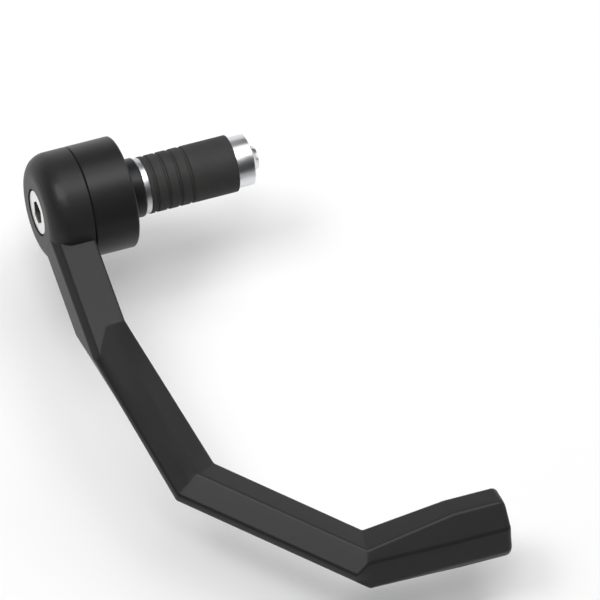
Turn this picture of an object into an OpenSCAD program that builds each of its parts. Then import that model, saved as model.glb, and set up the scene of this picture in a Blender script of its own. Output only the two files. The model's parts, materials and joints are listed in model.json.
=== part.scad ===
// Brake lever guard for one end of a motorcycle handlebar.
// Millimetres. Origin on the bar's axis at the bar's open end, +X into the bar,
// +Y back to the rider, +Z up. Heights are measured from the bar's axis.

/* [Boss] */
// Diameter of the round boss and of the spacer behind it
boss_d = 32; // [28:0.5:38]
// Length of the boss along the bar
boss_l = 12; // [10.5:0.1:16]
// Rounding of the boss's outer rim
rim_r = 6; // [3:0.5:8]
// Clearance hole for the clamp bolt
bolt_hole_d = 8.6; // [8.3:0.1:9.4]
// Play round the bolt's head in its counterbore
head_play = 0.35; // [0.2:0.05:0.6]
// Depth of the bolt's head below the boss's end face
head_sink = 0.3; // [0:0.1:1]

/* [Spacer] */
// Length of the spacer that shows between the boss and the bar
spacer_l = 13.2; // [8:0.2:20]
// Diameter of the spigot that centres the spacer in the bar
spigot_d = 17; // [16:0.1:17.6]
// Length of the spigot inside the bar
spigot_l = 5; // [3:0.5:8]
// Chamfer on the spacer's two rims
spacer_edge = 0.4; // [0.2:0.1:0.8]

/* [Clamp bolt] */
// Thread diameter of the bolt
bolt_d = 8; // [7:0.1:8]
// Length of the bolt under its head
bolt_l = 60; // [58:1:70]
// Diameter of the low head
head_d = 13; // [12:0.1:14]
// Height of the low head
head_h = 5; // [4:0.1:5.4]
// Width across the flats of the key socket
key_af = 5; // [4:0.5:6]
// Depth of the key socket
key_deep = 3; // [2:0.1:3.4]

/* [Expander] */
// Diameter of the thrust washer
washer_d = 16; // [14:0.1:16.4]
// Thickness of the thrust washer
washer_t = 1.6; // [1:0.1:2.5]
// Diameter of the rubber sleeve before it is squeezed
sleeve_d = 16.4; // [15.5:0.1:17]
// Length of the rubber sleeve
sleeve_l = 26; // [22:0.5:28]
// Bore of the rubber sleeve
sleeve_bore = 9; // [8.6:0.1:10]
// Depth of the grip grooves round the sleeve
groove_deep = 0.5; // [0.3:0.1:0.8]
// Length of the nut's taper inside the sleeve
taper_l = 12; // [8:0.5:14]
// Diameter at the small end of the nut's taper
taper_d = 11; // [10.6:0.1:12]
// Diameter of the nut's collar behind the taper
nut_d = 14.6; // [13.6:0.1:15.4]
// Length of the nut's collar
collar_l = 5; // [3:0.5:6]
// Play between the bolt's thread and the nut
thread_play = 0.1; // [0.05:0.05:0.2]
// Play between the nut's taper and the sleeve's mouth
taper_play = 0.15; // [0.1:0.05:0.3]

/* [Arm] */
// Width of the straight arm along the bar
arm_w = 11.9; // [10:0.1:12]
// Thickness of the straight arm
arm_t = 11.7; // [9:0.1:14]
// Distance from the bar's axis to the arm's first bend
arm_reach = 40.6; // [34:0.2:50]
// Run of the bevel on the arm's upper outer edge
bevel_run = 1.7; // [1:0.1:2.5]
// Fall of the bevel on the arm's upper outer edge
bevel_fall = 2.4; // [1:0.1:3]
// Length of the first bend's crease across the arm
crease_l = 5.5; // [4:0.1:7]
// How far the arm's flat top runs past the crease as a point
point_l = 7.7; // [5:0.1:10]
// How far the bevel runs on past the point
bevel_tail = 1.6; // [0.6:0.1:5]
// How far the arm's lower outer edge stops short of the crease
cut_back = 4.5; // [2:0.1:6]

/* [Shank, from the first bend to the second] */
// Length of the shank's inner edge, seen from above
shank_l = 43.7; // [36:0.2:50]
// Turn of the shank from straight ahead
shank_turn = 19.8; // [12:0.2:26]
// Drop from the arm's underside to the blade's underside
blade_drop = 12.85; // [6:0.05:18]

/* [Sweep, from the second bend to the third] */
// Length of the sweep's inner edge, seen from above
sweep_l = 45.5; // [38:0.2:52]
// Turn of the sweep from straight ahead
sweep_turn = 47.6; // [40:0.2:56]
// Height of the sweep's inner edge above its underside
sweep_inner_h = 6.8; // [4:0.1:9]
// Distance of the ridge from the inner edge
ridge_out = 7.5; // [6:0.1:9]
// Height of the ridge above the underside
ridge_h = 11.6; // [10.6:0.1:13]
// Distance of the front edge from the inner edge
front_out = 14.9; // [13:0.1:17]
// Height of the front edge above the underside
front_h = 9; // [8:0.1:10]
// Height of the nose's lower edge above the underside
nose_h = 6.2; // [4:0.1:7]
// How far the nose stands out past the front edge
nose_out = 0.4; // [0:0.1:0.8]
// How far the underside stops short of the nose
undercut = 3.5; // [2:0.1:5]

/* [Pad, from the third bend to the tip] */
// Length of the pad's inner edge from the third bend to its break
pad_l = 24.4; // [18:0.2:30]
// Turn of the pad from straight ahead, up to its break
pad_turn = 93.5; // [90:0.2:98]
// Length of the pad's tip, parallel to the bar
tip_l = 15.7; // [10:0.2:22]
// Height of the pad's inner edge at its tip
pad_inner_h = 9.3; // [6:0.1:11]
// Distance of the pad's ridge from its inner edge
pad_ridge_out = 6.2; // [5:0.1:7.5]
// Height of the pad's ridge above the underside
pad_ridge_h = 13; // [11.8:0.1:15]
// Distance of the pad's shoulder from its inner edge
pad_shoulder_out = 13.9; // [12.5:0.1:15]
// Height of the pad's shoulder above the underside
pad_shoulder_h = 10.5; // [9.8:0.1:11.4]
// Distance of the pad's toe from its inner edge
pad_toe_out = 17.5; // [16.6:0.1:20]
// Height of the pad's toe above the underside
pad_toe_h = 3.1; // [2:0.1:4]

/* [Edges] */
// Rounding of the long edges, measured along the faces
edge_r = 0.8; // [0.4:0.1:1.2]
// Rounding of the bends, measured along the faces
bend_r = 0.5; // [0.3:0.1:1.5]
// Rounding of the tip's end
tip_r = 1.6; // [0.6:0.1:2.4]

/* [Hidden] */
$fn = 96;
eps = 0.01;

// Steps in each rounded edge, and rings in the shank's twist
ARC_STEPS = 3;
TWIST_STEPS = 8;
// Angle of the seam across the sweep's top at the second and third bends
BEND_2_SKEW = 18.5;
BEND_3_SKEW = 29;
// Share of the front bevel's width at which the pad's shoulder line starts
SHOULDER_SHARE = 0.45;
// Angle of the nose's end at the third bend
NOSE_SKEW = 17;
// The pad's toe at the third bend: how far it starts short of the bend's inner corner, stands
// out past the front edge, and is above the underside, and how far the underside stops short of it
TOE_BACK = 2.25;
TOE_OUT = 1.35;
TOE_H = 2.5;
TOE_UNDERCUT = 1.5;
// How far the pad's underside stops short of its toe further on
PAD_UNDERCUT = 0.1;
// Where the pad's flat front face starts, measured past the third bend
PAD_START = 1;
// Grooves round the rubber sleeve
GROOVES = 4;

// Places along the bar's axis
seam_x = -spacer_l;
end_x = seam_x - boss_l;
head_x = end_x + head_sink;
seat_x = head_x + head_h;
washer_x = spigot_l;
sleeve_x = washer_x + washer_t;
nut_x = sleeve_x + sleeve_l - taper_l;

// Heights of the arm's and the blade's faces
arm_top = arm_t / 2;
arm_low = -arm_t / 2;
floor_z = arm_low - blade_drop;

// Points in the plan view are [inboard of the seam, ahead of the bar]
function ahead(turn) = [sin(turn), cos(turn)];
function outward(turn) = [-cos(turn), sin(turn)];
function place(p, z) = [seam_x + p[0], -p[1], z];
function mix(a, b, t) = a + (b - a) * t;

// Inner edge of the arm, one point at each bend
bend_1 = [0, arm_reach];
bend_2 = bend_1 + shank_l * ahead(shank_turn);
bend_3 = bend_2 + sweep_l * ahead(sweep_turn);
pad_break = bend_3 + pad_l * ahead(pad_turn);
pad_end = pad_break + tip_l * ahead(90);

// A corner of the sweep's section at a bend: its distance out, its lag along the run, its height
function sweep_corner(bend, out, lag, h) =
    place(bend + out * outward(sweep_turn) + lag * ahead(sweep_turn), floor_z + h);
// A corner of the pad's section
function pad_corner(p, out, h) = place(p + [0, out], floor_z + h);

// Every ring has the same eight corners: inner edge, ridge, shoulder line, front edge, nose,
// toe, outer edge of the underside and inner edge of the underside
function arm_ring(ahead_by, point_by, tail_by, low_by) =
    let (crease = place([-crease_l, ahead_by], arm_top),
         bevel_top = place([bevel_run - arm_w, point_by], arm_top),
         bevel_low = place([-arm_w, (point_by + tail_by) / 2], arm_top - bevel_fall),
         bevel_end = mix(place([bevel_run - arm_w, tail_by], arm_top),
                         place([-arm_w, tail_by], arm_top - bevel_fall), 0.6),
         low = place([-arm_w, low_by], arm_low))
    [place([0, ahead_by], arm_top), crease, bevel_top, bevel_end, bevel_low,
     mix(bevel_low, low, 0.5), low, place([0, ahead_by], arm_low)];

function sweep_ring(bend, skew) =
    let (ridge = sweep_corner(bend, ridge_out, -ridge_out * tan(skew), ridge_h),
         front = sweep_corner(bend, front_out, -front_out * tan(skew), front_h),
         nose_at = front_out + nose_out,
         nose = sweep_corner(bend, nose_at, -front_out * tan(skew), nose_h),
         foot_at = nose_at - undercut,
         foot = sweep_corner(bend, foot_at, -foot_at * tan(skew), 0))
    [sweep_corner(bend, 0, 0, sweep_inner_h), ridge, mix(ridge, front, SHOULDER_SHARE), front, nose,
     mix(nose, foot, 0.6), foot, sweep_corner(bend, 0, 0, 0)];

function third_ring() =
    let (lead = tan(BEND_3_SKEW),
         shoulder_at = mix(ridge_out, front_out, SHOULDER_SHARE),
         nose_lead = front_out * tan(NOSE_SKEW),
         toe = bend_3 - [TOE_BACK, 0],
         toe_out = front_out + TOE_OUT)
    [sweep_corner(bend_3, 0, 0, sweep_inner_h),
     sweep_corner(bend_3, ridge_out, ridge_out * lead, ridge_h),
     sweep_corner(bend_3, shoulder_at, shoulder_at * lead, mix(ridge_h, front_h, SHOULDER_SHARE)),
     sweep_corner(bend_3, front_out, nose_lead, front_h),
     sweep_corner(bend_3, front_out + nose_out, nose_lead, nose_h),
     pad_corner(toe, toe_out, TOE_H),
     pad_corner(toe, toe_out - TOE_UNDERCUT, 0),
     sweep_corner(bend_3, 0, 0, 0)];

function faced(inner, ridge, shoulder, toe, foot, base) =
    [inner, ridge, shoulder, mix(shoulder, toe, 0.35), mix(shoulder, toe, 0.7), toe, foot, base];

// Just past the third bend the pad's front face is already flat
function pad_start_ring(third) =
    let (on = PAD_START * [ahead(pad_turn)[0], -ahead(pad_turn)[1], 0])
    faced(third[0] + on, third[1] + on, third[2] + on, third[5] + on, third[6] + on, third[7] + on);

function pad_ring(p) =
    faced(pad_corner(p, 0, pad_inner_h), pad_corner(p, pad_ridge_out, pad_ridge_h),
          pad_corner(p, pad_shoulder_out, pad_shoulder_h), pad_corner(p, pad_toe_out, pad_toe_h),
          pad_corner(p, pad_toe_out - PAD_UNDERCUT, 0), pad_corner(p, 0, 0));

// A rounded corner: a short curve between points a little way along the two edges at p
function towards(p, q, d) = p + (q - p) * min(d / max(norm(q - p), eps), 0.45);
function curve(a, p, b, t) = mix(mix(a, p, t), mix(p, b, t), t);
function soften(a, p, b, d) =
    [for (i = [0:ARC_STEPS]) curve(towards(p, a, d), p, towards(p, b, d), i / ARC_STEPS)];
function soft_ring(ring, d) =
    let (n = len(ring))
    [for (i = [0:n - 1]) each soften(ring[(i + n - 1) % n], ring[i], ring[(i + 1) % n], d)];

// The rings along the run, each bend rounded point by point
function bend_rings(a, p, b) =
    [for (i = [0:ARC_STEPS]) [for (k = [0:len(p) - 1])
        curve(towards(p[k], a[k], bend_r), p[k], towards(p[k], b[k], bend_r), i / ARC_STEPS)]];
function twist_rings(a, b) = [for (i = [1:TWIST_STEPS - 1]) mix(a, b, i / TWIST_STEPS)];

// The tip's end: rings that close in on the middle of the section as they near the end face
function middle(ring) = let (n = len(ring)) [for (c = [0:2]) [for (p = ring) p[c]] * [for (p = ring) 1] / n];
function shrunk(ring, d, back) =
    let (m = middle(ring))
    [for (p = ring) p + (m - p) * d / norm(m - p) - [back, 0, 0]];
function tip_rings(ring) =
    [for (i = [0:ARC_STEPS]) shrunk(ring, tip_r * (1 - cos(90 * i / ARC_STEPS)), tip_r * (1 - sin(90 * i / ARC_STEPS)))];

ring_0 = soft_ring(arm_ring(0, 0, 0, 0), edge_r);
ring_1 = soft_ring(arm_ring(arm_reach, arm_reach + point_l, arm_reach + point_l + bevel_tail,
                            arm_reach - cut_back), edge_r);
ring_2 = soft_ring(sweep_ring(bend_2, BEND_2_SKEW), edge_r);
ring_3 = soft_ring(third_ring(), edge_r);
ring_3_end = soft_ring(pad_start_ring(third_ring()), edge_r);
ring_4 = soft_ring(pad_ring(pad_break), edge_r);
ring_5 = soft_ring(pad_ring(pad_end), edge_r);

module loft(rings) {
    n = len(rings[0]);
    last = len(rings) - 1;
    start = n * (last + 1);
    points = [for (ring = rings) each ring, middle(rings[0]), middle(rings[last])];
    sides = [for (r = [0:last - 1]) for (k = [0:n - 1])
        let (a = r * n + k, b = r * n + (k + 1) % n) each [[a, b + n, b], [a, a + n, b + n]]];
    ends = [for (k = [0:n - 1])
        let (j = (k + 1) % n) each [[start, k, j], [start + 1, last * n + j, last * n + k]]];
    polyhedron(points, concat(sides, ends));
}

module arm() {
    loft([ring_0,
          each bend_rings(ring_0, ring_1, ring_2),
          each twist_rings(ring_1, ring_2),
          each bend_rings(ring_1, ring_2, ring_3),
          each bend_rings(ring_2, ring_3, ring_3_end),
          ring_3_end,
          each bend_rings(ring_3_end, ring_4, ring_5),
          each tip_rings(ring_5)]);
}

// A solid turned about the bar's axis from a profile of [along the bar, radius]
module turned(profile) {
    rotate([0, 90, 0]) rotate([0, 0, 180]) rotate_extrude() polygon([for (p = profile) [p[1], p[0]]]);
}

module hole(from_x, to_x, d) {
    translate([from_x, 0, 0]) rotate([0, 90, 0]) cylinder(h = to_x - from_x, d = d);
}

module boss() {
    rotate([0, 90, 0]) rotate_extrude() {
        intersection() {
            union() {
                translate([0, end_x + rim_r]) square([boss_d / 2, boss_l - rim_r]);
                translate([0, end_x]) square([boss_d / 2 - rim_r, boss_l]);
                translate([boss_d / 2 - rim_r, end_x + rim_r]) circle(rim_r);
            }
            translate([0, end_x]) square([boss_d / 2, boss_l]);
        }
    }
}

module lever_guard() {
    color("#2b2b2d") difference() {
        union() {
            boss();
            arm();
        }
        hole(end_x - eps, seam_x + eps, bolt_hole_d);
        hole(end_x - eps, seat_x, head_d + 2 * head_play);
    }
}

module bar_end_spacer() {
    color("#303033") difference() {
        turned([[seam_x, 0], [seam_x, boss_d / 2 - spacer_edge], [seam_x + spacer_edge, boss_d / 2],
                [-spacer_edge, boss_d / 2], [0, boss_d / 2 - spacer_edge], [0, spigot_d / 2],
                [spigot_l - spacer_edge, spigot_d / 2], [spigot_l, spigot_d / 2 - spacer_edge], [spigot_l, 0]]);
        hole(seam_x - eps, spigot_l + eps, bolt_hole_d);
    }
}

module clamp_bolt() {
    edge = head_d / 26;
    tip_x = seat_x + bolt_l;
    color("#c9cacc") difference() {
        turned([[head_x, 0], [head_x, head_d / 2 - edge], [head_x + edge, head_d / 2], [seat_x, head_d / 2],
                [seat_x, bolt_d / 2], [tip_x - bolt_d / 8, bolt_d / 2], [tip_x, bolt_d * 3 / 8], [tip_x, 0]]);
        translate([head_x - eps, 0, 0]) rotate([0, 90, 0])
            cylinder(h = key_deep + eps, d = key_af / cos(30), $fn = 6);
    }
}

module thrust_washer() {
    color("#b9bcc0") difference() {
        hole(washer_x, sleeve_x, washer_d);
        hole(washer_x - eps, sleeve_x + eps, bolt_hole_d);
    }
}

// Radius of the nut's taper at a distance from its small end
function taper_radius(x) = mix(taper_d, nut_d, x / taper_l) / 2;

module expander_sleeve() {
    mouth = taper_radius(taper_l) + taper_play;
    pitch = (sleeve_l - taper_l) / GROOVES;
    color("#1d1d1e") difference() {
        turned([[sleeve_x, sleeve_bore / 2], [sleeve_x, sleeve_d / 2], [sleeve_x + sleeve_l, sleeve_d / 2],
                [sleeve_x + sleeve_l, mouth], [nut_x, taper_radius(0) + taper_play], [nut_x, sleeve_bore / 2]]);
        for (i = [0:GROOVES - 1]) translate([sleeve_x + pitch * (i + 0.5), 0, 0]) rotate([0, 90, 0])
            rotate_extrude() translate([sleeve_d / 2, 0]) circle(groove_deep);
    }
}

module expander_nut() {
    back_x = nut_x + taper_l;
    color("#b9bcc0") difference() {
        turned([[nut_x, 0], [nut_x, taper_d / 2], [back_x, nut_d / 2], [back_x + collar_l, nut_d / 2],
                [back_x + collar_l, 0]]);
        hole(nut_x - eps, back_x + collar_l + eps, bolt_d + 2 * thread_play);
    }
}

lever_guard();
bar_end_spacer();
clamp_bolt();
thrust_washer();
expander_sleeve();
expander_nut();
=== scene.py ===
"""Brake lever guard for one end of a motorcycle's handlebar: studio scene.

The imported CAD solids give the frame. Each visible piece is shaped and dressed round it,
in metres, with +X into the bar, +Y back to the rider and +Z up.
"""

import json
import logging
import math
from dataclasses import dataclass, field
from enum import Enum
from typing import Any

import bpy
from mathutils import Matrix, Vector

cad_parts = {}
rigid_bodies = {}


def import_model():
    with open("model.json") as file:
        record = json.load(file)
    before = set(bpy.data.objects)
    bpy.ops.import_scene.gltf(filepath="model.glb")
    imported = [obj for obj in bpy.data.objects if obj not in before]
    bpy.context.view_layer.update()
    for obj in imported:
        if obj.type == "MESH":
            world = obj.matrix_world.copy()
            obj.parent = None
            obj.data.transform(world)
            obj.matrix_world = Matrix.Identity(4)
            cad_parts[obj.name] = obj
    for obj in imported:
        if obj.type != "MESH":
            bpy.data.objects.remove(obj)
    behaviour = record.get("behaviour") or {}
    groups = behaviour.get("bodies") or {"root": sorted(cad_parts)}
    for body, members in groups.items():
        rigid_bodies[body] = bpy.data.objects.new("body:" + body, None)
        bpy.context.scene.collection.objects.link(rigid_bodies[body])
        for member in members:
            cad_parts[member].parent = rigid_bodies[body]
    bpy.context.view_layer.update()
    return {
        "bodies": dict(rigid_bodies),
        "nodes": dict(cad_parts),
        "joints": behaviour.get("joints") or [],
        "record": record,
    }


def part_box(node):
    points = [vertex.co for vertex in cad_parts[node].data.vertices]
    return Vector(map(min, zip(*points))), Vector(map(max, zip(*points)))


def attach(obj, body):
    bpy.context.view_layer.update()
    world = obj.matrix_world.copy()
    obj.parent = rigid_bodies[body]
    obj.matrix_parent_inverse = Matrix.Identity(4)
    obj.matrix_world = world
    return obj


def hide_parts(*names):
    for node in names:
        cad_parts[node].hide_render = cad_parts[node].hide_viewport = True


LOG = logging.getLogger("lever_guard")
MM = 0.001
BODY = "root"
AXIS_X = (1.0, 0.0, 0.0)
Colour = tuple[float, float, float]
Profile = list[tuple[float, float]]


class Shade:
    """A shader socket that takes part in Python expressions."""

    def __init__(self, tree: "ShaderTree", socket: bpy.types.NodeSocket) -> None:
        """Wrap a socket.

        Args:
            tree: The tree that new Math nodes go into.
            socket: The output socket that holds the value.
        """
        self.tree = tree
        self.socket = socket

    def _math(self, operation: str, first: Any, second: Any = None) -> "Shade":
        """Add a Math node.

        Args:
            operation: The Math node's operation.
            first: The first value, a number or a Shade.
            second: The second value, where the operation has one.

        Returns:
            The node's result.
        """
        values = {0: first} if second is None else {0: first, 1: second}
        return self.tree.node("ShaderNodeMath", {"operation": operation}, values)

    def __add__(self, other: Any) -> "Shade":
        """Sum of two values."""
        return self._math("ADD", self, other)

    __radd__ = __add__

    def __mul__(self, other: Any) -> "Shade":
        """Product of two values."""
        return self._math("MULTIPLY", self, other)

    __rmul__ = __mul__

    def __sub__(self, other: Any) -> "Shade":
        """Difference of two values."""
        return self._math("SUBTRACT", self, other)

    def __rsub__(self, other: Any) -> "Shade":
        """Difference with the number on the left."""
        return self._math("SUBTRACT", other, self)

    def __pow__(self, other: Any) -> "Shade":
        """Power of a value."""
        return self._math("POWER", self, other)


class ShaderTree:
    """The nodes of a material or of the world, with one method for every kind of node."""

    def __init__(self, owner: bpy.types.Material | bpy.types.World) -> None:
        """Start with an empty tree.

        Args:
            owner: The material or world.
        """
        self.owner = owner
        owner.use_nodes = True
        self.nodes = owner.node_tree.nodes
        self.links = owner.node_tree.links
        self.nodes.clear()

    @classmethod
    def named(cls, name: str) -> "ShaderTree":
        """Start the tree of a new material.

        Args:
            name: The material's name.

        Returns:
            The tree.
        """
        return cls(bpy.data.materials.new(name))

    def node(
        self, kind: str, settings: dict[str, Any], inputs: dict[Any, Any], output: Any = 0
    ) -> Shade:
        """Add a node.

        Args:
            kind: The node's type.
            settings: Properties of the node, set before its sockets.
            inputs: Values or links, by socket name or number.
            output: The output that is wrapped, by name or number.

        Returns:
            The wrapped output.
        """
        made = self.nodes.new(kind)
        for key, value in settings.items():
            setattr(made, key, value)
        for key, value in inputs.items():
            if isinstance(value, Shade):
                self.links.new(value.socket, made.inputs[key])
            else:
                made.inputs[key].default_value = value
        return Shade(self, made.outputs[output])

    def place(self) -> Shade:
        """Object coordinates, in metres in the row frame."""
        return self.node("ShaderNodeTexCoord", {}, {}, "Object")

    def parts(self, vector: Shade) -> tuple[Shade, Shade, Shade]:
        """Split a vector.

        Args:
            vector: The vector.

        Returns:
            Its X, Y and Z.
        """
        split = self.node("ShaderNodeSeparateXYZ", {}, {0: vector}).socket.node
        return tuple(Shade(self, split.outputs[axis]) for axis in "XYZ")

    def seen(self) -> Shade:
        """Tell what the camera sees, itself, mirrored or through glass, from plain light.

        Returns:
            1 for what is seen and 0 for light.
        """
        path = self.node("ShaderNodeLightPath", {}, {}).socket.node
        rays = ("Is Camera Ray", "Is Glossy Ray", "Is Transmission Ray")
        camera, glossy, clear = (Shade(self, path.outputs[ray]) for ray in rays)
        return self.node("ShaderNodeClamp", {}, {"Value": camera + glossy + clear})

    def noise(self, at: Shade, size: float, detail: float = 3.0, rough: float = 0.5) -> Shade:
        """Noise of a given grain.

        Args:
            at: Where the noise is read.
            size: Size of the grain, in metres.
            detail: Number of finer layers.
            rough: Strength of the finer layers.

        Returns:
            A value from 0 to 1.
        """
        values = {"Vector": at, "Scale": 1.0 / size, "Detail": detail, "Roughness": rough}
        return self.node("ShaderNodeTexNoise", {}, values, "Fac")

    def turned_place(self) -> Shade:
        """Turn places into lathe coordinates, on which a lathe's marks are read.

        Returns:
            A vector of the place along the bar's axis, the distance from it and 0.
        """
        along, side, height = self.parts(self.place())
        radius = (side * side + height * height) ** 0.5
        return self.node("ShaderNodeCombineXYZ", {}, {"X": along, "Y": radius, "Z": 0.0})

    def spread(self, value: Shade, low: float, high: float) -> Shade:
        """Map 0 to 1 onto a range.

        Args:
            value: The value from 0 to 1.
            low: What 0 becomes.
            high: What 1 becomes.

        Returns:
            The mapped value.
        """
        return value * (high - low) + low

    def mix(self, factor: Shade, first: Colour | Shade, second: Colour | Shade) -> Shade:
        """Mix two colours.

        Args:
            factor: 0 gives the first and 1 the second.
            first: The first colour.
            second: The second colour.

        Returns:
            The mixed colour.
        """
        ends = [end if isinstance(end, Shade) else (*end, 1.0) for end in (first, second)]
        values = {0: factor, 6: ends[0], 7: ends[1]}
        return self.node("ShaderNodeMix", {"data_type": "RGBA"}, values, 2)

    def step(self, value: Shade, edge: float, width: float) -> Shade:
        """Pass from 0 to 1 as a value passes an edge.

        Args:
            value: The value.
            edge: Where the step starts.
            width: How wide it is.

        Returns:
            0 below the edge and 1 above it.
        """
        values = {"Value": value, "From Min": edge, "From Max": edge + width}
        return self.node("ShaderNodeMapRange", {}, values)

    def bump(self, height: Shade, depth: float) -> Shade:
        """Turn heights into a normal.

        Args:
            height: Height from 0 to 1.
            depth: Depth of the relief, in metres.

        Returns:
            The normal.
        """
        values = {"Height": height, "Distance": depth, "Strength": 1.0}
        return self.node("ShaderNodeBump", {}, values, "Normal")

    def finish(self, sockets: dict[str, Any]) -> bpy.types.Material:
        """Close the tree with a Principled shader.

        Args:
            sockets: Values or links of the shader.

        Returns:
            The material.
        """
        surface = self.node("ShaderNodeBsdfPrincipled", {}, sockets, "BSDF")
        return self.close(surface)

    def close(self, surface: Shade) -> bpy.types.Material | bpy.types.World:
        """Join a shader to the output.

        Args:
            surface: The shader.

        Returns:
            The material or world.
        """
        world = isinstance(self.owner, bpy.types.World)
        kind = "ShaderNodeOutputWorld" if world else "ShaderNodeOutputMaterial"
        self.links.new(surface.socket, self.nodes.new(kind).inputs["Surface"])
        return self.owner


@dataclass(frozen=True)
class MouldedNylon:
    """Black glass-filled nylon from a finely eroded mould."""

    dark: Colour = (0.0160, 0.0160, 0.0168)
    light: Colour = (0.0220, 0.0220, 0.0230)
    roughness: tuple[float, float] = (0.36, 0.44)
    specular: float = 0.21
    cloud: float = 9 * MM
    grain: float = 0.22 * MM
    grain_depth: float = 0.012 * MM
    cloud_share: float = 0.7

    def make(self) -> bpy.types.Material:
        """Build the material.

        Returns:
            The material.
        """
        tree = ShaderTree.named("moulded_nylon")
        at = tree.place()
        cloud = tree.noise(at, self.cloud, 2.0)
        grain = tree.noise(at, self.grain, 3.0, 0.6)
        share = cloud * self.cloud_share + grain * (1 - self.cloud_share)
        colour = tree.mix(share, self.dark, self.light)
        rough = tree.spread(grain * 0.5 + cloud * 0.5, *self.roughness)
        return tree.finish(
            {
                "Base Color": colour,
                "Roughness": rough,
                "Normal": tree.bump(grain, self.grain_depth),
                "Specular IOR Level": self.specular,
            }
        )


@dataclass(frozen=True)
class TurnedMetal:
    """Metal from a lathe, with fine rings round the bar's axis."""

    name: str
    dark: Colour
    light: Colour
    metallic: float
    roughness: tuple[float, float]
    specular: float = 0.5
    ring: float = 0.12 * MM
    ring_depth: float = 0.004 * MM
    ring_share: float = 0.6
    cloud: float = 4 * MM

    def make(self) -> bpy.types.Material:
        """Build the material.

        Returns:
            The material.
        """
        tree = ShaderTree.named(self.name)
        rings = tree.noise(tree.turned_place(), self.ring, 2.0)
        cloud = tree.noise(tree.place(), self.cloud)
        share = rings * self.ring_share + cloud * (1 - self.ring_share)
        return tree.finish(
            {
                "Base Color": tree.mix(share, self.dark, self.light),
                "Roughness": tree.spread(rings * 0.5 + cloud * 0.5, *self.roughness),
                "Metallic": self.metallic,
                "Specular IOR Level": self.specular,
                "Normal": tree.bump(rings, self.ring_depth),
            }
        )


@dataclass(frozen=True)
class SocketSteel:
    """Bright steel of the clamp bolt, with painted shade, a dark dull colour, inside the broached
    socket.
    """

    bright: Colour = (0.80, 0.80, 0.79)
    dull: Colour = (0.70, 0.70, 0.69)
    # Colour, roughness and metal share of the painted shade inside the socket.
    painted_socket_shade: Colour = (0.050, 0.043, 0.038)
    painted_socket_shade_light: Colour = (0.105, 0.092, 0.082)
    roughness: tuple[float, float] = (0.22, 0.34)
    painted_socket_shade_rough: float = 0.3
    painted_socket_shade_metallic: float = 0.3
    ring: float = 0.15 * MM
    ring_depth: float = 0.003 * MM
    cloud: float = 1.5 * MM
    node: str = "clamp_bolt"
    mouth: float = 0.25 * MM
    socket_end: float = 4.9 * MM
    socket_radius: float = 3.7 * MM
    fade: float = 0.1 * MM

    def make(self) -> bpy.types.Material:
        """Build the material.

        Returns:
            The material.
        """
        tree = ShaderTree.named("bright_steel")
        at = tree.turned_place()
        along, radius, _ = tree.parts(at)
        rings = tree.noise(at, self.ring, 2.0)
        cloud = tree.noise(tree.place(), self.cloud)
        marks = rings * 0.5 + cloud * 0.5
        face_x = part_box(self.node)[0][0]
        past_mouth = tree.step(along, face_x + self.mouth, self.fade)
        past_end = tree.step(along, face_x + self.socket_end, self.fade)
        past_wall = tree.step(radius, self.socket_radius, self.fade)
        # Painted shade: the socket's hollow gets a dark colour, less metal and more roughness.
        inside = past_mouth * (1 - past_end) * (1 - past_wall)
        steel = tree.mix(marks, self.dull, self.bright)
        painted_socket_shade = tree.mix(cloud, self.painted_socket_shade, self.painted_socket_shade_light)
        return tree.finish(
            {
                "Base Color": tree.mix(inside, steel, painted_socket_shade),
                "Roughness": tree.spread(marks, *self.roughness) + inside * self.painted_socket_shade_rough,
                "Metallic": 1 - inside * (1 - self.painted_socket_shade_metallic),
                "Normal": tree.bump(rings, self.ring_depth),
            }
        )


@dataclass(frozen=True)
class MouldedRubber:
    """Black rubber with a dull, slightly dusty skin."""

    dark: Colour = (0.014, 0.014, 0.014)
    light: Colour = (0.028, 0.027, 0.026)
    roughness: tuple[float, float] = (0.62, 0.82)
    grain: float = 0.35 * MM
    grain_depth: float = 0.02 * MM
    bloom: float = 3 * MM

    def make(self) -> bpy.types.Material:
        """Build the material.

        Returns:
            The material.
        """
        tree = ShaderTree.named("moulded_rubber")
        grain = tree.noise(tree.place(), self.grain, 4.0, 0.6)
        bloom = tree.noise(tree.place(), self.bloom)
        return tree.finish(
            {
                "Base Color": tree.mix(bloom, self.dark, self.light),
                "Roughness": tree.spread(grain, *self.roughness),
                "Normal": tree.bump(grain, self.grain_depth),
            }
        )


class Finish(Enum):
    """The finishes of the part's pieces."""

    MOULDING = "moulding"
    ANODISED = "anodised"
    BOLT = "bolt"
    WASHER = "washer"
    RUBBER = "rubber"
    NUT = "nut"


FINISHES: dict[Finish, Any] = {
    Finish.MOULDING: MouldedNylon(),
    Finish.ANODISED: TurnedMetal(
        "anodised_black", (0.0120, 0.0120, 0.0130), (0.0165, 0.0165, 0.0177), 0.0, (0.34, 0.40), 0.24
    ),
    Finish.BOLT: SocketSteel(),
    Finish.WASHER: TurnedMetal(
        "zinc_plate", (0.52, 0.54, 0.56), (0.64, 0.65, 0.66), 1.0, (0.30, 0.42)
    ),
    Finish.RUBBER: MouldedRubber(),
    Finish.NUT: TurnedMetal(
        "turned_aluminium", (0.66, 0.67, 0.69), (0.76, 0.77, 0.79), 1.0, (0.26, 0.38)
    ),
}


class Wardrobe:
    """Makes each finish once and puts it on pieces."""

    def __init__(self) -> None:
        """Start with nothing made."""
        self._made: dict[Finish, bpy.types.Material] = {}

    def dress(self, piece: bpy.types.Object, finish: Finish) -> None:
        """Give a piece its finish.

        Args:
            piece: The piece.
            finish: The finish.
        """
        if finish not in self._made:
            self._made[finish] = FINISHES[finish].make()
        piece.data.materials.clear()
        piece.data.materials.append(self._made[finish])


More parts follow.
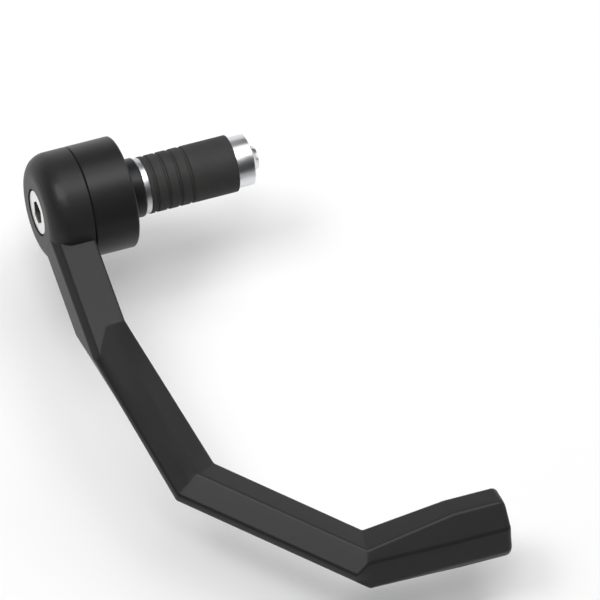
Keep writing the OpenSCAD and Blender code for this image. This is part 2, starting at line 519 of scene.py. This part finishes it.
class Bench:
    """Modelling steps shared by the pieces."""

    MERGE = 0.001 * MM
    SHARP_ANGLE = math.radians(28)
    FLAT_ANGLE = math.radians(0.2)

    @staticmethod
    def pick(piece: bpy.types.Object) -> None:
        """Select one object and nothing else.

        Args:
            piece: The object.
        """
        bpy.ops.object.select_all(action="DESELECT")
        piece.select_set(True)
        bpy.context.view_layer.objects.active = piece

    @classmethod
    def turn(cls, name: str, profile: Profile, sides: int, closed: bool) -> bpy.types.Object:
        """Turn a profile round the bar's axis, ring by ring.

        Args:
            name: The piece's name.
            profile: Pairs of place along the axis and radius.
            sides: Sides of the piece.
            closed: Whether the profile runs back to its start, round a bore.

        Returns:
            The piece.
        """
        bpy.ops.object.select_all(action="DESELECT")
        start_x, start_r = profile[0]
        bpy.ops.mesh.primitive_circle_add(
            vertices=sides, radius=start_r, location=(start_x, 0, 0), rotation=(0, math.pi / 2, 0)
        )
        piece = bpy.context.active_object
        piece.name = piece.data.name = name
        bpy.ops.object.transform_apply(location=True, rotation=True, scale=True)
        bpy.ops.object.mode_set(mode="EDIT")
        bpy.ops.mesh.select_all(action="SELECT")
        if not closed:
            bpy.ops.mesh.edge_face_add()
        for (x0, r0), (x1, r1) in zip(profile, profile[1:] + (profile[:1] if closed else [])):
            if closed:
                bpy.ops.mesh.extrude_edges_move(TRANSFORM_OT_translate={"value": (x1 - x0, 0, 0)})
            else:
                bpy.ops.mesh.extrude_region_move(TRANSFORM_OT_translate={"value": (x1 - x0, 0, 0)})
            bpy.ops.transform.resize(value=(1, r1 / r0, r1 / r0), center_override=(x1, 0, 0))
        bpy.ops.mesh.select_all(action="SELECT")
        bpy.ops.mesh.remove_doubles(threshold=cls.MERGE)
        bpy.ops.mesh.normals_make_consistent(inside=False)
        bpy.ops.object.mode_set(mode="OBJECT")
        return piece

    @classmethod
    def round_edges(cls, piece: bpy.types.Object, width: float) -> None:
        """Break a piece's sharp edges.

        Args:
            piece: The piece.
            width: Width of the broken edge.
        """
        cls.pick(piece)
        modifier = piece.modifiers.new("broken_edges", "BEVEL")
        modifier.limit_method = "ANGLE"
        modifier.angle_limit = cls.SHARP_ANGLE
        modifier.width = width
        modifier.segments = 2
        modifier.use_clamp_overlap = True
        bpy.ops.object.modifier_apply(modifier=modifier.name)

    @classmethod
    def cut(cls, piece: bpy.types.Object, cutter: bpy.types.Object) -> None:
        """Cut one shape out of a piece, and throw the cutter away.

        Args:
            piece: The piece.
            cutter: The shape that is cut out.
        """
        cls.pick(piece)
        modifier = piece.modifiers.new("cut", "BOOLEAN")
        modifier.operation = "DIFFERENCE"
        modifier.solver = "EXACT"
        modifier.object = cutter
        bpy.ops.object.modifier_apply(modifier=modifier.name)
        bpy.data.objects.remove(cutter)

    @classmethod
    def smooth(cls, piece: bpy.types.Object, angle: float) -> None:
        """Smooth a piece's faces where they meet at less than an angle, and keep flat faces flat.

        Args:
            piece: The piece.
            angle: The angle, in degrees.
        """
        cls.pick(piece)
        bpy.ops.object.shade_smooth_by_angle(angle=math.radians(angle))
        modifier = piece.modifiers.new("flat_faces", "WEIGHTED_NORMAL")
        modifier.keep_sharp = True
        modifier.weight = 100
        bpy.ops.object.modifier_apply(modifier=modifier.name)

    @classmethod
    def closed_copy(cls, node: bpy.types.Object, name: str) -> bpy.types.Object:
        """Copy a CAD node and join its loose triangles into one closed surface.

        Args:
            node: The CAD node.
            name: The piece's name.

        Returns:
            The piece.
        """
        piece = bpy.data.objects.new(name, node.data.copy())
        bpy.context.scene.collection.objects.link(piece)
        cls.pick(piece)
        bpy.ops.mesh.customdata_custom_splitnormals_clear()
        bpy.ops.object.mode_set(mode="EDIT")
        bpy.ops.mesh.select_all(action="SELECT")
        bpy.ops.mesh.remove_doubles(threshold=2 * cls.MERGE)
        bpy.ops.mesh.dissolve_limited(angle_limit=cls.FLAT_ANGLE)
        bpy.ops.object.mode_set(mode="OBJECT")
        return piece


@dataclass
class Part:
    """One piece that stands for a CAD node, as the node's own closed surface."""

    node: str
    name: str
    finish: Finish
    smooth_angle: float = 34.0

    def shape(self, frame: dict[str, Any]) -> bpy.types.Object:
        """Make the piece's mesh.


        Returns:
            The piece.
        """
        return Bench.closed_copy(frame["nodes"][self.node], self.name)

    def build(self, frame: dict[str, Any], wardrobe: Wardrobe) -> bpy.types.Object:
        """Shape and dress the piece.

        Args:
            wardrobe: The finishes.

        Returns:
            The piece.
        """
        piece = self.shape(frame)
        Bench.smooth(piece, self.smooth_angle)
        wardrobe.dress(piece, self.finish)
        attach(piece, BODY)
        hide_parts(self.node)
        return piece


@dataclass
class TurnedPart(Part):
    """A piece from the lathe, between the ends and within the radius that its CAD node has."""

    sides: int = 96
    broken_edge: float = 0.12 * MM
    bore: float = 8.6 * MM

    def profile(self, low: float, high: float, radius: float) -> Profile:
        """Outline of half the section, from the bore round to the bore.

        Args:
            low: Outboard end.
            high: Inboard end.
            radius: Largest radius.

        Returns:
            Pairs of place along the axis and radius.
        """
        hole = self.bore / 2
        return [(low, hole), (low, radius), (high, radius), (high, hole)]

    def shape(self, frame: dict[str, Any]) -> bpy.types.Object:
        """Turn the piece and break its edges.


        Returns:
            The piece.
        """
        low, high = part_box(self.node)
        profile = self.profile(low[0], high[0], high[2])
        piece = Bench.turn(self.name, profile, self.sides, closed=True)
        Bench.round_edges(piece, self.broken_edge)
        return piece


@dataclass
class Spacer(TurnedPart):
    """The spacer between the guard's boss and the bar, with the spigot that enters the bar."""

    shoulder_x: float = 0.0
    spigot: float = 17 * MM
    chamfer: float = 0.4 * MM
    seam_width: float = 0.55 * MM
    seam_depth: float = 0.9 * MM

    def profile(self, low: float, high: float, radius: float) -> Profile:
        """Outline with chamfered rims, shoulder and spigot.

        Args:
            low: Outboard end.
            high: Inboard end.
            radius: Largest radius.

        Returns:
            Pairs of place along the axis and radius.
        """
        hole, spigot, edge = self.bore / 2, self.spigot / 2, self.chamfer
        return [
            (low, hole),
            (low, radius - self.seam_depth),
            (low + self.seam_width, radius),
            (self.shoulder_x - edge, radius),
            (self.shoulder_x, radius - edge),
            (self.shoulder_x, spigot),
            (high - edge, spigot),
            (high, spigot - edge),
            (high, hole),
        ]


@dataclass
class Sleeve(TurnedPart):
    """The rubber sleeve that swells inside the bar, with grip grooves and a tapered mouth."""

    taper: float = 12 * MM
    mouth: float = 14.9 * MM
    throat: float = 11.3 * MM
    grooves: int = 4
    groove: float = 0.5 * MM
    groove_steps: int = 6

    def profile(self, low: float, high: float, radius: float) -> Profile:
        """Outline with round grooves over the plain stretch and the cone inside.

        Args:
            low: Outboard end.
            high: Inboard end.
            radius: Largest radius.

        Returns:
            Pairs of place along the axis and radius.
        """
        hole, cone_x = self.bore / 2, high - self.taper
        pitch = (cone_x - low) / self.grooves
        outline = [(low, hole), (low, radius)]
        for number in range(self.grooves):
            middle = low + pitch * (number + 0.5)
            for step in range(self.groove_steps + 1):
                angle = math.pi * step / self.groove_steps
                across, deep = math.cos(angle), math.sin(angle)
                outline.append((middle - self.groove * across, radius - self.groove * deep))
        return outline + [
            (high, radius),
            (high, self.mouth / 2),
            (cone_x, self.throat / 2),
            (cone_x, hole),
        ]


@dataclass
class Nut(TurnedPart):
    """The tapered nut that is drawn into the sleeve."""

    taper: float = 12 * MM
    small_end: float = 11 * MM

    def profile(self, low: float, high: float, radius: float) -> Profile:
        """Outline with a cone and a plain collar.

        Args:
            low: Outboard end.
            high: Inboard end.
            radius: Largest radius.

        Returns:
            Pairs of place along the axis and radius.
        """
        hole = self.bore / 2
        return [
            (low, hole),
            (low, self.small_end / 2),
            (low + self.taper, radius),
            (high, radius),
            (high, hole),
        ]


@dataclass
class SocketBolt(TurnedPart):
    """The clamp bolt: a cap screw with a hexagon socket and a rolled thread.

    The socket's turn is in degrees, from a corner that points to the rider.
    """

    head: float = 5 * MM
    head_chamfer: float = 0.25 * MM
    shank: float = 8 * MM
    key: float = 6 * MM
    key_depth: float = 3 * MM
    key_point: float = 0.9 * MM
    point_radius: float = 0.17 * MM
    key_mouth: float = 0.15 * MM
    key_turn: float = -6.0
    pitch: float = 1.25 * MM
    thread_depth: float = 0.65 * MM
    thread_length: float = 24 * MM
    rings_per_turn: int = 8
    tip: float = 1.0 * MM

    def profile(self, low: float, high: float, radius: float) -> Profile:
        """Outline from the head's face to the tip, with a ring for every step of the thread.

        Args:
            low: Outboard end.
            high: Inboard end.
            radius: Largest radius.

        Returns:
            Pairs of place along the axis and radius.
        """
        seat, half = low + self.head, self.shank / 2
        start = high - self.thread_length
        step = self.pitch / self.rings_per_turn
        count = round((high - self.tip - start) / step)
        rings = [(start + step * number, half) for number in range(count)]
        return [
            (low, radius - self.head_chamfer),
            (low + self.head_chamfer, radius),
            (seat, radius),
            (seat, half),
            *rings,
            (high - self.tip, half),
            (high, half - self.tip),
        ]

    def shape(self, frame: dict[str, Any]) -> bpy.types.Object:
        """Turn the bolt, roll its thread and broach its socket.


        Returns:
            The piece.
        """
        low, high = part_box(self.node)
        profile = self.profile(low[0], high[0], high[2])
        piece = Bench.turn(self.name, profile, self.sides, closed=False)
        self._roll_thread(piece, high[0])
        Bench.cut(piece, self._broach(low[0]))
        return piece

    def _roll_thread(self, piece: bpy.types.Object, tip_x: float) -> None:
        """Sink the thread's root into the shank along a helix.

        Args:
            piece: The bolt.
            tip_x: Where the tip is.
        """
        start, half = tip_x - self.thread_length, self.shank / 2
        for vertex in piece.data.vertices:
            x, y, z = vertex.co
            radius = math.hypot(y, z)
            if x < start or radius < half - self.tip - Bench.MERGE:
                continue
            turn = (x / self.pitch - math.atan2(z, y) / math.tau) % 1.0
            fade = min(1.0, (x - start) / self.pitch)
            root = half - self.thread_depth * abs(2 * turn - 1) * fade
            scale = min(1.0, root / radius)
            vertex.co = (x, y * scale, z * scale)

    def _broach(self, face_x: float) -> bpy.types.Object:
        """Make the socket's cutter: a hexagon with a drill point, and a chamfered mouth.

        Args:
            face_x: Where the head's face is.

        Returns:
            The cutter.
        """
        corner = self.key / 2 / math.cos(math.pi / 6)
        outline = [
            (face_x - self.key_mouth, corner + 2 * self.key_mouth),
            (face_x + self.key_mouth, corner),
            (face_x + self.key_depth, corner),
            (face_x + self.key_depth + self.key_point, self.point_radius),
        ]
        cutter = Bench.turn("socket_cutter", outline, 6, closed=False)
        Bench.pick(cutter)
        cutter.rotation_euler = (math.radians(self.key_turn), 0, 0)
        bpy.ops.object.transform_apply(location=True, rotation=True, scale=True)
        return cutter


@dataclass
class Lamp:
    """A soft lamp that shines at the part."""

    name: str
    towards: Colour
    size: tuple[float, float]
    power: float
    distance: float = 1.2
    along: Colour = AXIS_X

    def build(self, aim: Vector) -> bpy.types.Object:
        """Hang the lamp.

        Args:
            aim: The point it shines at.

        Returns:
            The lamp.
        """
        data = bpy.data.lights.new(self.name, "AREA")
        data.shape = "RECTANGLE"
        data.size, data.size_y = self.size
        data.energy = self.power
        lamp = bpy.data.objects.new(self.name, data)
        direction = Vector(self.towards).normalized()
        across = direction.cross(Vector(self.along)).normalized()
        turn = Matrix((across.cross(direction), across, direction)).transposed().to_4x4()
        lamp.matrix_world = Matrix.Translation(aim + direction * self.distance) @ turn
        bpy.context.scene.collection.objects.link(lamp)
        return lamp


@dataclass
class Studio:
    """Floor, backdrop, lamps and camera."""

    floor_z: float = -40.0 * MM
    floor_size: float = 8.0
    floor_colour: Colour = (0.65, 0.65, 0.65)
    floor_glow: float = 0.27
    wall: float = 1.0
    ceiling: float = 0.02
    wall_top: tuple[float, float] = (0.04, 0.12)
    lens: float = 1450.0
    sensor: float = 36.0
    clip: tuple[float, float] = (0.1, 100.0)
    view_width: float = 167.83 * MM
    target: Colour = (36.01 * MM, -48.39 * MM, 7.18 * MM)
    camera_right: Colour = (0.9392, -0.3200, 0.1248)
    camera_up: Colour = (0.2406, 0.8723, 0.4256)
    lamps: list[Lamp] = field(
        default_factory=lambda: [
            Lamp("key_strip", (-0.10, 0.17, 0.98), (1.2, 0.4), 8.5),
            Lamp("key_outboard", (-0.50, 0.17, 0.85), (0.4, 0.4), 4.0),
            Lamp("front_spot", (-0.19, -0.10, 0.98), (0.3, 0.3), 2.3),
            Lamp("key_behind", (0.20, 0.50, 0.85), (0.6, 0.6), 2.7),
            Lamp("inboard_high", (0.55, 0.35, 0.76), (0.7, 0.7), 1.6),
            Lamp("inboard_low", (0.85, 0.0, 0.50), (0.7, 0.7), 2.0),
            Lamp("behind_low", (-0.10, 0.95, 0.25), (0.7, 0.7), 0.6),
        ]
    )

    def build(self) -> None:
        """Build the whole studio."""
        self._floor()
        self._world()
        for lamp in self.lamps:
            lamp.build(Vector(self.target))
        self._camera()

    def _floor(self) -> None:
        """Lay the pale floor below the part, which hangs by its spigot as on the bar."""
        bpy.ops.mesh.primitive_plane_add(size=self.floor_size, location=(0, 0, 0))
        floor = bpy.context.active_object
        floor.name = "floor"
        floor.data.transform(Matrix.Translation((0, 0, self.floor_z)))
        tree = ShaderTree.named("pale_floor")
        pale = tree.node("ShaderNodeBsdfDiffuse", {}, {"Color": (*self.floor_colour, 1.0)}, "BSDF")
        glow = tree.node("ShaderNodeEmission", {}, {"Strength": tree.seen() * self.floor_glow})
        floor.data.materials.append(tree.close(tree.node("ShaderNodeAddShader", {}, {0: pale, 1: glow})))

    def _world(self) -> None:
        """Hang a pale wall round the studio under a dim ceiling."""
        tree = ShaderTree(bpy.data.worlds.new("studio"))
        height = tree.parts(tree.node("ShaderNodeTexCoord", {}, {}, "Generated"))[2]
        values = {
            "Value": height,
            "From Min": self.wall_top[0],
            "From Max": self.wall_top[1],
            "To Min": self.wall,
            "To Max": self.ceiling,
        }
        light = tree.node("ShaderNodeMapRange", {"interpolation_type": "SMOOTHSTEP"}, values)
        surface = tree.node("ShaderNodeBackground", {}, {"Color": (1, 1, 1, 1), "Strength": light})
        bpy.context.scene.world = tree.close(surface)

    def _camera(self) -> None:
        """Set the camera at the photograph's angle, so far off that it hardly converges."""
        data = bpy.data.cameras.new("camera")
        data.lens = self.lens
        data.sensor_width = self.sensor
        camera = bpy.data.objects.new("camera", data)
        right, up = Vector(self.camera_right).normalized(), Vector(self.camera_up).normalized()
        back = right.cross(up)
        distance = self.view_width * self.lens / self.sensor
        turn = Matrix((right, up, back)).transposed().to_4x4()
        camera.matrix_world = Matrix.Translation(Vector(self.target) + back * distance) @ turn
        data.clip_start, data.clip_end = self.clip
        bpy.context.scene.collection.objects.link(camera)
        bpy.context.scene.camera = camera
        bpy.context.scene.view_settings.view_transform = "Standard"


PARTS = [
    Part("lever_guard", "guard_moulding", Finish.MOULDING),
    Spacer("bar_end_spacer", "anodised_spacer", Finish.ANODISED),
    SocketBolt("clamp_bolt", "socket_bolt", Finish.BOLT),
    TurnedPart("thrust_washer", "plated_washer", Finish.WASHER),
    Sleeve("expander_sleeve", "rubber_sleeve", Finish.RUBBER, bore=9 * MM),
    Nut("expander_nut", "tapered_nut", Finish.NUT, bore=8.2 * MM),
]


def main() -> None:
    """Build the scene."""
    logging.basicConfig(level=logging.INFO, format="%(message)s")
    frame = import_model()
    bpy.ops.object.select_all(action="DESELECT")
    wardrobe = Wardrobe()
    for part in PARTS:
        piece = part.build(frame, wardrobe)
        LOG.info("%s: %d faces", piece.name, len(piece.data.polygons))
    Studio().build()


if __name__ == "__main__":
    main()
